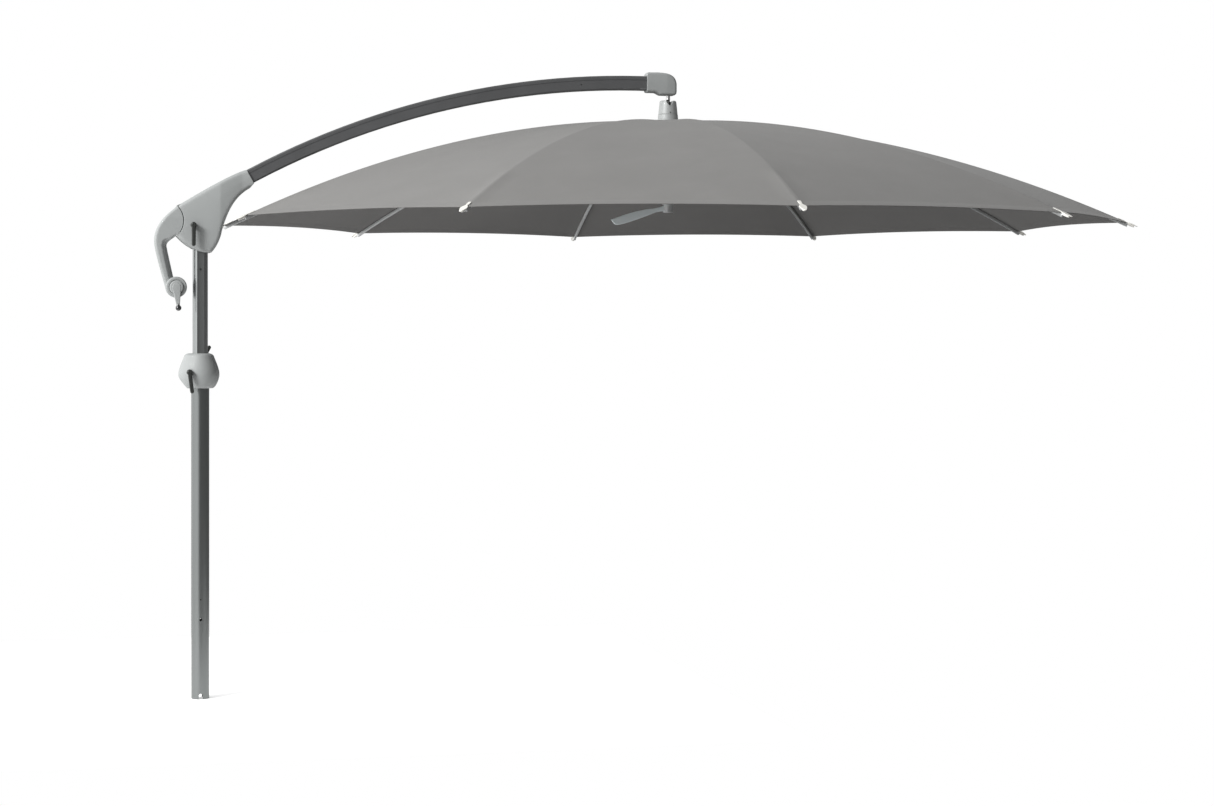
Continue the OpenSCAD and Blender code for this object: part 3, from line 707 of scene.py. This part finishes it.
def housing_half(name, side):
    body = shell_mesh(housing_outline, housing_width, 13, whole=housing_whole, split=side,
                      seam_r=1.5, crown=3)
    cavity = shell_mesh(inset(housing_outline, WALL), lambda p: housing_width(p) - WALL - 2.5, 10)
    cuts = [cavity, arm_bar(45.6, 53.8, 20, 400), mast_room, rope_passage()]
    if side < 0:
        cuts.append(rod_y(pitch, 5, -60, 0))
    else:
        for place in ((-50, 1680), (70, 1735), (-20, 1806)):
            cuts.append(rod_y(place, 4.6, 30, 60))
    mesh = boolean(body, cuts)
    piece = finish_mesh(name, mesh, cast_grey, "arm", 30)
    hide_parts("housing_front" if side < 0 else "housing_rear")


housing_half("housing_shell_front", -1)
housing_half("housing_shell_rear", 1)


# ---- winch arm, its cover, the crank and its knob ----

def winch_width(p):
    """Narrower towards the winch, with a facet along the arm's inner side."""
    plain = np.interp(p[:, 1], (1535, 1580, 1640, 1740), (24, 25.5, 32, 44))
    d = open_distance(p, winch_neck[5:] + winch_inner + winch_chin[:2])
    return plain - 15 * np.clip(1 - d / 19, 0, 1)


def open_distance(points, line):
    """Distance of each point from an open line of points."""
    a = np.asarray(line, float)
    best = np.full(len(points), 1e9)
    for start, end in zip(a, a[1:]):
        d = end - start
        t = np.clip(((points - start) @ d) / max(d @ d, 1e-9), 0, 1)
        gap = points - (start + t[:, None] * d)
        best = np.minimum(best, np.hypot(gap[:, 0], gap[:, 1]))
    return best


def winch_arm():
    body = shell_mesh(winch_outline, winch_width, 9, whole=casing_outline, seam_r=1.5, step=3.5)
    cavity = shell_mesh(inset(winch_outline, WALL), lambda p: winch_width(p) - WALL - 1, 5)
    cuts = [cavity, rope_passage(), rod_y(winch, 6.1, -40, 40)]
    piece = finish_mesh("winch_arm_shell", boolean(body, cuts), cast_grey, "arm", 30)
    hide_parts("winch_arm")


winch_arm()


def disc(name, profile, p, y, material, body, node=None, sharp=35):
    """A turned piece on an axis along Y. profile is (radius, distance from y towards -Y)."""
    verts, faces = lathe(profile)
    piece = new_piece(name, turned_to_y(verts, p, y), faces, material, body, sharp)
    if node:
        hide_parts(node)
    return piece


disc("winch_cover_disc",
     rounded_profile([(6.1, 0), (38, 0, 1), (38, 8.5, 4), (34.5, 11.8, 3), (27, 11.8, 1),
                      (26, 10.2, 1), (6.1, 10.2)], 1),
     winch, -24.2, cast_grey, "arm", "winch_cover")

knob_at = winch + (7, -75)


def crank():
    verts, faces = lathe(rounded_profile([(0, 0), (24, 0, 1), (24, 7.5, 3), (20, 9, 2), (0, 9)], 1))
    hub_disc = raw_mesh(turned_to_y(verts, winch, -37), faces)
    down = (knob_at - winch) / np.linalg.norm(knob_at - winch)
    lean = math.degrees(math.atan2(down[1], down[0]))
    outline = (arc(winch, 16, lean + 84, lean + 276, 30)
               + arc(knob_at - down * 12, 6.2, lean - 84, lean + 84, 14))
    bar = shell_mesh(outline, lambda p: np.interp(distance_to(p, winch), (0, 20, 75), (6, 5.4, 4)),
                     2.6, step=3)
    for v in bar.vertices:
        v.co.y -= 42.2 * MM
    mesh = boolean(hub_disc, [bar], "UNION")
    piece = finish_mesh("crank_arm", mesh, cast_grey, "crank", 32)
    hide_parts("crank_lever")


def distance_to(points, p):
    return np.hypot(points[:, 0] - p[0], points[:, 1] - p[1])


crank()

KNOB_R = 10.6
ball = [(KNOB_R * math.sin(a), -KNOB_R * math.cos(a)) for a in np.radians(np.linspace(0, 150, 26))]
verts, faces = lathe([(0, ball[0][1])] + ball[1:] + [(4.6, 12), (4.6, 15), (0, 15)], 48)
knob = new_piece("crank_ball", moved(verts, (knob_at[0], -42.5, knob_at[1])), faces, knob_black,
                 "crank", 50)
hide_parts("crank_knob")


# ---- clamp levers ----

def lever(name, node, body, p, side, turn, tip, head, length=77.0, width=15.0, thick=12.0):
    """A round head on the screw's end, and a bar that hangs from it, turned by turn degrees
    about the screw."""
    head_r = 10.5
    stem = raw_mesh(*lathe(rounded_profile(
        [(0, tip), (4, tip), (4, head), (head_r - 1.5, head, 0.4), (head_r, head + 2, 1),
         (head_r, head + 25, 3), (7, head + 28, 1.5), (3.6, head + 28, 0.2), (3.4, head + 25, 0.2),
         (0, head + 25)], 0.4), 64))
    a = math.radians(-90 + turn)
    axis = np.array([math.cos(a), math.sin(a)])
    lean = -90 + turn
    bar_outline = (arc((0, 0), width / 2, lean + 94, lean + 266, 14)
                   + arc(axis * (length - width / 2), width / 2 - 0.6, lean - 86, lean + 86, 18))
    bar = shell_mesh(bar_outline, lambda q: np.full(len(q), thick / 2), 3.4, step=2.6)
    stem.transform(Matrix.Rotation(math.radians(90), 4, "X"))
    for v in bar.vertices:
        v.co.y -= (head + 28 - thick / 2 - 0.4) * MM
    mesh = boolean(stem, [bar], "UNION")
    if side > 0:
        mesh.transform(Matrix.Scale(-1, 4, (0, 1, 0)))
    mesh.transform(Matrix.Translation((p[0] * MM, 0, p[1] * MM)))
    piece = finish_mesh(name, mesh, lever_black, body, 32)
    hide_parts(node)


swivel_axis = joint_at("swivel_lever_turn")[[0, 2]]
height_axis = joint_at("height_lever_turn")[[0, 2]]
lever("swivel_clamp_lever", "swivel_lever", "swivel_clamp", swivel_axis, -1, 7, -15, 56)
lever("height_clamp_lever", "height_lever", "height_clamp", height_axis, 1, 152, 19, 69)
lever("pitch_clamp_lever", "pitch_lever", "pitch_clamp", pitch, -1, 0, 38, 45.3)


# ---- swivel collar ----

collar_low, collar_high = (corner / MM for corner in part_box("collar_front"))
COLLAR_Z0, COLLAR_Z1 = collar_low[2], collar_high[2]
side_line = np.array([(46, COLLAR_Z0)]
                     + curve((46, COLLAR_Z0), (56, COLLAR_Z0 + 4), (69, 1156), (69, 1176), 24)
                     + curve((69, 1176), (69, 1196), (56, 1222), (49, 1241), 24)
                     + curve((49, 1241), (46, 1248), (38, 1250.5), (31, COLLAR_Z1 - 0.5), 8))
BULGE = 18
SEAT_R, SEAT_BLEND_R, SEAT_SLOPE = 11.5, 14, 1.2     # flat seat under each lever's head
STEP_Z, CLEAR_LOW, CLEAR_HIGH = 1190, 33.0, 28.0     # room for the tube below, the mast above
MOUTH_LOW, MOUTH_HIGH = 32.9, 27.8


def soft_max(a, b, blend):
    h = np.clip(0.5 + 0.5 * (b - a) / blend, 0, 1)
    return a + (b - a) * h + blend * h * (1 - h)


def collar_radius(angle, z):
    """The barrel, blended into a narrower one on the left round the swivel's clamp, which is
    cut slantwise at its foot."""
    barrel = np.interp(z, side_line[:, 1], side_line[:, 0])
    c, s = np.cos(angle), np.sin(angle)
    across = np.maximum((barrel - BULGE / 2) ** 2 - (BULGE * s) ** 2, 0)
    second = np.where(c < 0, -BULGE * c + np.sqrt(across), 0)
    both = soft_max(barrel, second, 4.0)
    limit = np.interp(z, (1094, 1129, 1162, 1170), (20, 50, 78, 90)) / np.maximum(-c, 0.2)
    cut = np.where(c < -0.2, limit, 200)
    return np.maximum(-soft_max(-both, -cut, 8.0), 34.0)


def collar_half(name, node, side, lever_axis, seat):
    """One half of the collar: an outer and an inner skin, closed round the edges."""
    angles = np.linspace(0.002, math.pi - 0.002, 97) * side
    heights = side_line[:, 1]
    rows, columns = len(heights), len(angles)
    verts = []
    for wall in (0.0, WALL):
        for z in heights:
            low, high = COLLAR_Z0 + wall, COLLAR_Z1 - wall
            zz = np.clip(z, low, high)
            r = collar_radius(angles, np.full(columns, zz)) - wall
            floor_r = CLEAR_LOW if z < STEP_Z else CLEAR_HIGH
            r = np.maximum(r, floor_r + 1.0)
            for a, radius in zip(angles, r):
                x, y = radius * math.cos(a), radius * math.sin(a)
                off = math.hypot(x - lever_axis[0], zz - lever_axis[1])
                if wall == 0 and off < SEAT_BLEND_R:
                    limit = seat + max(0, off - SEAT_R) * SEAT_SLOPE
                    y = side * min(abs(y), limit)
                verts.append((x, y, zz))
    n = rows * columns

    def at(skin, i, j):
        return skin * n + i * columns + j

    faces = []
    for i in range(rows - 1):
        for j in range(columns - 1):
            quad = [at(0, i, j), at(0, i, j + 1), at(0, i + 1, j + 1), at(0, i + 1, j)]
            faces.append(quad)
            faces.append([v + n for v in reversed(quad)])
    for i in range(rows - 1):
        for j in (0, columns - 1):
            faces.append([at(0, i, j), at(0, i + 1, j), at(1, i + 1, j), at(1, i, j)])
    # the mouths round the tubes
    for i, ring_r in ((0, MOUTH_LOW), (rows - 1, MOUTH_HIGH)):
        first = len(verts)
        for skin in (0, 1):
            z = verts[at(skin, i, 0)][2]
            verts += [(ring_r * math.cos(a), ring_r * math.sin(a), z) for a in angles]
        for j in range(columns - 1):
            faces.append([at(0, i, j), at(0, i, j + 1), first + j + 1, first + j])
            far = first + columns + j
            faces.append([at(1, i, j), at(1, i, j + 1), far + 1, far])
            faces.append([first + j, first + j + 1, far + 1, far])
        for j in (0, columns - 1):
            faces.append([at(0, i, j), at(1, i, j), first + columns + j, first + j])
    piece = new_piece(name, verts, faces, cast_grey, "swivel_collar", 40)
    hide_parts(node)


collar_half("collar_shell_front", "collar_front", -1, swivel_axis, 55.7)
collar_half("collar_shell_rear", "collar_rear", 1, height_axis, 68.7)


# ---- nose of the arm ----

cap_tip = (curve((1700, 2305), (1745, 2304), (1776, 2300), (1780, 2262), 22)
           + [np.array((1780, 2236))]
           + curve((1780, 2236), (1780, 2226), (1776, 2219), (1766, 2219), 8)
           + curve((1722, 2219), (1710, 2220), (1706, 2229), (1694, 2229), 8))
cap_mouth = ((1666, 2229), (1663, 2234), (1664, 2298), (1668, 2304))
cap_outline = [np.array(p) for p in cap_mouth] + cap_tip
cap_whole = [np.array(p) for p in ((1630, 2229), (1630, 2304))] + cap_tip
cap_body = shell_mesh(cap_outline, width_of((1660, 29), (1668, 29), (1740, 28.6), (1790, 25)), 9,
                      whole=cap_whole, seam_r=1.2, step=3.5, crown=2.0)
pulley_slot = prism(arc(pulley, 24, 0, 350, 35), -8, 8)
rope_slot = prism([(1690, 2266), (1732, 2266), (1732, 2282), (1690, 2282)], -8, 8)
stud_hole = hub_lathe([(0, 2190), (8.1, 2190), (8.1, 2238), (0, 2238)], 40)
cap_cuts = [arm_bar(45.4, 53.8, 1600, 1701), pulley_slot, rope_slot, stud_hole]
end_cap = finish_mesh("end_cap_shell", boolean(cap_body, cap_cuts), cast_grey, "arm",
                      30)
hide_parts("end_cap")


# ---- hub ----

cone_profile = rounded_profile([(18.2, 2147.9), (36.4, 2147.9, 0.8), (36.2, 2151, 2),
                                (33.4, 2178, 8), (31.4, 2196, 4), (27, 2199.8, 4),
                                (12, 2199.8, 1), (12, 2160.5, 1), (18.2, 2160.5)], 2)
notch = [(0, 2174.5), *((x, 2176.4 + x * 1.33) for x in (3, 19.6)), (-19.6, 2202.5), (-3, 2180.4)]
cone = boolean(hub_lathe(cone_profile), [
    prism([(hub_x + x, z) for x, z in notch], -45, 45), rod_y((hub_x, 2154), 2.4, -45, -30),
    rod_y((hub_x, 2154), 2.4, 30, 45)])
cone = finish_mesh("hub_cone_shell", cone, hub_silver, "canopy_head", 32)
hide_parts("hub_cone")
base_profile = rounded_profile([(18.2, 2122), (37.5, 2122, 1), (39.4, 2124, 1.5),
                                (39.4, 2128, 1.5), (38.2, 2130, 1), (38.4, 2131, 1),
                                (37.1, 2146.6, 1), (36.2, 2147.4, 0.5), (18.2, 2147.4)], 1)
verts, faces = lathe(base_profile)
base = new_piece("hub_base_ring", at_hub(verts), faces, hub_silver, "canopy_head", 28)
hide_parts("hub_base")


def knuckle():
    """A double cone about the tilt's axis, which fills the cone's notch, with a hole for the
    rope."""
    middle = hinge_z + 1.5
    profile = rounded_profile([(0, -10.6), (3, -10.6), (13.4, 0, 1.5), (3, 10.6), (0, 10.6)], 0.5)
    verts, faces = lathe(profile, 64)
    body = raw_mesh([(hub_x + v[2], v[1], middle + v[0]) for v in verts], faces)
    neck = hub_lathe([(0, middle + 5), (5, middle + 5), (8.6, middle + 11.5),
                      (0, middle + 11.5)], 48)
    rope_hole = hub_lathe([(0, middle - 20), (3.3, middle - 20), (3.3, middle + 20),
                           (0, middle + 20)], 48)
    return boolean(boolean(body, [neck], "UNION"), [rope_hole])


knuckle_piece = finish_mesh("knuckle", knuckle(), lever_black, "arm", 30)
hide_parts("hinge_knuckle")

# ---- paddle handle ----

handle_z = joint_at("handle_swing")[2]


def paddle():
    outline = (arc((0, 0), 13, 90, -90, 14)
               + curve((0, -13), (-15, -7), (-30, -8), (-52, -15), 8)
               + curve((-52, -15), (-105, -36), (-160, -56), (-190, -61), 16)
               + curve((-190, -61), (-200, -62.5), (-206, -61), (-209, -57.5), 5)
               + curve((-209, -57.5), (-214, -51), (-219, -45), (-221, -42), 5)
               + curve((-221, -42), (-165, -20), (-115, -6), (-70, 0), 16)
               + curve((-70, 0), (-35, 3), (-25, 12), (0, 13), 10))
    outline = [np.array((hub_x + p[0], handle_z + p[1])) for p in outline]
    body = shell_mesh(outline, width_of((hub_x - 221, 4.2), (hub_x - 190, 5.4), (hub_x, 6)), 2.4,
                      step=4)
    return boolean(body, [rod_y((hub_x, handle_z), 3.05, -20, 20)])


piece = finish_mesh("paddle", paddle(), paddle_grey, "paddle", 30)
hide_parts("paddle_handle")


# ---- ribs and their caps ----

strut_eye = np.array([750, cloth_z(750) - rib_drop - rib_size - 7])


RIB_WIDTH, RIB_DEPTH = 10.0, 12.0


def rib_tube():
    """A square tube with rounded corners and a groove below, bent to the canopy's curve."""
    half = RIB_DEPTH / 2
    outline = sorted_section(rounded_box(RIB_WIDTH, RIB_DEPTH, 1.8, 3)) + [
        (-2.0, -half), (-1.8, 3.4 - half), (1.8, 3.4 - half), (2.0, -half)]
    stations = np.linspace(70, hem_r, 56)
    verts = []
    for r in stations:
        slope = math.atan2(-2 * canopy_rise * r / canopy_r ** 2, 1)
        middle = cloth_z(r) - rib_drop - half
        for y, up in outline:
            verts.append((r - up * math.sin(slope), y, middle + up * math.cos(slope)))
    n = len(outline)
    faces = [[i * n + j, i * n + (j + 1) % n, (i + 1) * n + (j + 1) % n, (i + 1) * n + j]
             for i in range(len(stations) - 1) for j in range(n)]
    last = (len(stations) - 1) * n
    faces += [list(range(n - 1, -1, -1)), list(range(last, last + n))]
    return raw_mesh(verts, faces)


def sorted_section(section):
    """The section's points in order from the groove's right side round to its left."""
    def turn(p):
        return (math.atan2(p[1], p[0]) + math.pi / 2) % (2 * math.pi)
    return sorted(section, key=turn)


def tongue_mesh():
    inner = 78
    top, low = cloth_z(inner) - rib_drop - 1, cloth_z(inner) - rib_drop - rib_size + 1
    outline = arc((eye_r, rib_eye_z), 6, 90, 270, 16)
    outline += [np.array((inner, low)), np.array((inner, top))]
    return boolean(prism(outline, -4, 4), [rod_y((eye_r, rib_eye_z), 2.05, -6, 6)])


def bracket_mesh():
    outline = (arc(strut_eye, 6, 180, 360, 14)
               + [strut_eye + p for p in ((22, 3), (18, 9), (-20, 13), (-22, 11))])
    return boolean(prism(outline, -3, 3), [rod_y(strut_eye, 2.1, -6, 6)])


CAP_IN, CAP_OUT = 1678, 1750


def cap_mesh():
    """A lug and a leaf over the cloth's corner, and a plug that closes the rib's end."""
    ts = np.linspace(0.0, 1.0, 48)
    rs = CAP_IN + (CAP_OUT - CAP_IN - 0.4) * ts
    ws = np.interp(ts, (0, 0.03, 0.25, 0.30, 0.36, 0.44, 0.52, 0.60, 0.68, 0.78, 0.88, 0.96, 1),
                   (4.8, 6.0, 6.0, 4.4, 4.2, 7.6, 10.8, 12.4, 12.2, 10.2, 7.4, 4.8, 2.6))
    outline = [np.array(p) for p in (*zip(rs, ws), *zip(rs[::-1], -ws[::-1]))]
    verts, faces = shell(outline, width_of((1664, 1.4), (1690, 1.3), (1720, 1.7), (1750, 1.2)),
                         1.2, step=3)
    leaf = raw_mesh([(v[0], v[2], cloth_z(v[0]) + 1.7 - v[1]) for v in verts], faces)
    section = rounded_box(9.6, 9.0, 2.2, 4)
    stations = [1712.6, 1714, 1722, 1730, 1735, 1737]
    grow = [1.0, 1.1, 1.1, 1.0, 0.84, 0.6]
    verts = []
    for r, g in zip(stations, grow):
        for y, up in section:
            verts.append((r, y * g, cloth_z(r) - 3.4 + (up * g if up < 0 else up)))
    n = len(section)
    faces = [[i * n + j, i * n + (j + 1) % n, (i + 1) * n + (j + 1) % n, (i + 1) * n + j]
             for i in range(len(stations) - 1) for j in range(n)]
    last = (len(stations) - 1) * n
    faces += [list(range(n - 1, -1, -1)), list(range(last, last + n))]
    return boolean(leaf, [raw_mesh(verts, faces)], "UNION")


tube = boolean(rib_tube(), [tongue_mesh(), bracket_mesh()], "UNION")
cap = cap_mesh()
for k in range(1, rib_count + 1):
    turn = Matrix.Translation((hub_x * MM, 0, 0)) @ Matrix.Rotation(rib_angle(k), 4, "Z")
    for name, source, finish, slot in (("rib_tube", tube, rib_metal, "frame_alu"),
                                       ("rib_cap", cap, cap_white, "frame_alu")):
        mesh = source.copy()
        mesh.transform(turn)
        piece = finish_mesh(f"{name}_{k}", mesh, finish, f"rib_arm_{k}", 30)
        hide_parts(f"rib_{k}")


# ---- canopy: a gore centred on each rib ----

CLOTH_T = 0.7
HEM_W = 28.0
SEAM_W = 11.0
HEM_LIFT = 0.5      # how far a hem, and a seam, stand up from the cloth
SEAM_LIFT = 0.45
SHADED_CLOTH_TILT = -0.2  # a face that looks down further than this gets the darker copy of the cloth, painted shade for the underside
HEM_DIP = 20.0      # how far the hem curves in between two ribs
SAG = 5.0           # how far the cloth lies below the straight line between two ribs


def gore_point(k, u, t):
    """A point of the cloth. u runs from -0.5 to 0.5 across the gore, in panels, and t from the
    neck to the hem."""
    side = 1 if u >= 0 else -1
    share = abs(u)
    edge = hem_r - HEM_DIP * (1 - (2 * share - 1) ** 2)
    r = cloth_hole + (edge - cloth_hole) * t
    a0, a1 = rib_angle(k), rib_angle(k + side)
    p0 = np.array([math.cos(a0), math.sin(a0)])
    p1 = np.array([math.cos(a1), math.sin(a1)])
    flat = r * (p0 * (1 - share) + p1 * share)
    z = cloth_z(r) - SAG * (1 - (2 * share - 1) ** 2) * math.sin(math.pi * min(1, t * 1.02)) ** 0.7
    return np.array([hub_x + flat[0], flat[1], z])


def gore(k):
    length = hem_r - cloth_hole
    panel = 2 * hem_r * math.sin(half_panel)
    seam_u = SEAM_W / panel
    hem_t = 1 - HEM_W / length
    us = sorted({*np.round(np.linspace(-0.5, 0.5, 17), 5), -seam_u, seam_u, -seam_u - 0.002,
                 seam_u + 0.002})
    ts = sorted({*np.round(np.linspace(0, 1, 49), 5), hem_t, hem_t - 0.0012, 1 - 0.0006})
    rows, columns = len(ts), len(us)
    outer, inner, uv = [], [], []
    for t in ts:
        for u in us:
            p = gore_point(k, u, t)
            du = gore_point(k, min(u + 0.01, 0.5), t) - gore_point(k, max(u - 0.01, -0.5), t)
            dt = gore_point(k, u, min(t + 0.01, 1)) - gore_point(k, u, max(t - 0.01, 0))
            if abs(u) < 1e-6:
                du = gore_point(k, 0.2, t) - gore_point(k, -0.2, t)
            normal = np.cross(dt, du)
            normal /= np.linalg.norm(normal)
            if normal[2] < 0:
                normal = -normal
            spread = panel * (t * 0.985 + 0.015)
            thick = 0.0
            if t > hem_t - 0.0006:
                thick = HEM_LIFT
            if abs(u) * spread < SEAM_W * 0.99 or abs(u) <= seam_u + 1e-9:
                thick = max(thick, SEAM_LIFT)
            lift = normal * thick
            outer.append(p + lift)
            inner.append(p - normal * CLOTH_T - lift * 0.6)
            uv.append((u * panel * t * MM, t * length * MM))
    n = rows * columns
    verts = outer + inner
    faces = []
    for i in range(rows - 1):
        for j in range(columns - 1):
            quad = [i * columns + j, i * columns + j + 1,
                    (i + 1) * columns + j + 1, (i + 1) * columns + j]
            faces.append(quad)
            faces.append([v + n for v in reversed(quad)])
    for i in range(rows - 1):
        for j in (0, columns - 1):
            a, b = i * columns + j, (i + 1) * columns + j
            faces.append([a, b, b + n, a + n])
    for i in (0, rows - 1):
        for j in range(columns - 1):
            a, b = i * columns + j, i * columns + j + 1
            faces.append([a, b, b + n, a + n])
    mesh = bpy.data.meshes.new(f"gore_{k}")
    mesh.from_pydata([tuple(float(x) * MM for x in v) for v in verts], [], faces)
    layer = mesh.uv_layers.new(name="UVMap")
    for loop in mesh.loops:
        layer.data[loop.index].uv = uv[loop.vertex_index % n]
    piece = finish_mesh(f"canopy_gore_{k}", mesh, cloth, f"rib_arm_{k}", 55)
    # faces that look down get the darker copy of the cloth: painted shade on the underside
    mesh.materials.append(shaded_cloth)
    for face in mesh.polygons:
        face.material_index = int(face.normal.z < SHADED_CLOTH_TILT)
    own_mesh(piece)
    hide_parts("canopy_cover")


for k in range(1, rib_count + 1):
    gore(k)

neck_z, rim_z = cloth_z(24), cloth_z(96)
patch_profile = rounded_profile([(24.5, neck_z + 0.6), (24.5, neck_z + 2.0), (96, rim_z + 1.3, 1),
                                 (97, rim_z + 0.7, 0.3), (96, rim_z + 0.6)], 0.5)
verts, faces = lathe(patch_profile, 120)
patch = new_piece("crown_patch", at_hub(verts), faces, cloth, "canopy_head", 50)
